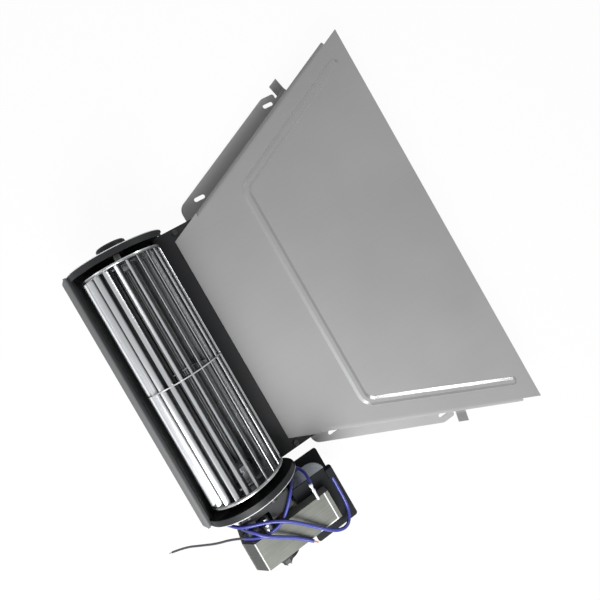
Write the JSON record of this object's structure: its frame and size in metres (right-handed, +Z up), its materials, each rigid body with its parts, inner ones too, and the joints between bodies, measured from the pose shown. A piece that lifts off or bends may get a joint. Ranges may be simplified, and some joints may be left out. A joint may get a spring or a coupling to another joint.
{
  "type": "cross flow fan",
  "caption": "Cross flow fan: a caged impeller in a scroll housing, turned by a shaded pole motor, blowing into a low flared sheet metal duct with side flanges.",
  "frame": {"origin": "on the panel the fan is screwed to, under the middle of the impeller axis", "axes": "+X along the impeller towards the motor, +Y towards the wide outlet, +Z up from the panel"},
  "size_m": [0.3748, 0.332, 0.085],
  "materials": {
    "duct_paint": "grey powder coated sheet steel",
    "housing_paint": "black painted sheet steel",
    "bright_strip": "bright rolled aluminium",
    "lamination": "edges of stacked electrical steel",
    "shaft_steel": "ground steel",
    "zinc": "zinc plated steel",
    "black_steel": "black oxide steel",
    "cage": "cast aluminium",
    "copper": "bare copper",
    "sintered": "oil filled sintered bronze",
    "rubber": "moulded rubber",
    "washer_plastic": "plain nylon",
    "bobbin_plastic": "moulded nylon",
    "winding_tape": "grey tape over enamelled wire",
    "lead_blue": "blue wire insulation",
    "lead_grey": "dark grey wire insulation",
    "sleeve_white": "white insulating sleeve"
  },
  "bodies": {
    "frame": {"diffuser_duct": "duct_paint", "fan_housing": "housing_paint", "tongue_plate": "housing_paint", "far_end_plate": "housing_paint", "motor_end_plate": "housing_paint", "motor_bracket": "housing_paint", "rear_bracket": "housing_paint", "stator_core": "lamination", "coil_core": "lamination", "core_screws": "zinc", "core_spacers": "zinc", "core_nuts": "black_steel", "bracket_screws": "black_steel", "housing_rivets": "black_steel", "shading_rings": "copper", "far_bearing": "sintered", "front_bearing": "sintered", "rear_bearing": "sintered", "bearing_grommet": "rubber", "coil_bobbin": "bobbin_plastic", "coil_winding": "winding_tape", "lead_supply": "lead_blue", "lead_tap": "lead_blue", "lead_coil": "lead_blue", "lead_tail": "lead_grey", "lead_sleeve": "sleeve_white"},
    "rotor": {"far_blades": "bright_strip", "motor_blades": "bright_strip", "far_disc": "bright_strip", "mid_disc": "bright_strip", "motor_disc": "bright_strip", "stub_shaft": "shaft_steel", "drive_hub": "shaft_steel", "hub_screw": "zinc", "motor_shaft": "shaft_steel", "rotor_core": "lamination", "rotor_rings": "cage", "thrust_washers": "washer_plastic"}
  },
  "joints": [
    {"name": "rotor_spin", "type": "hinge", "parent": "frame", "child": "rotor", "pos_m": [0, 0, 0.049], "axis": [1, 0, 0], "continuous": true}
  ]
}
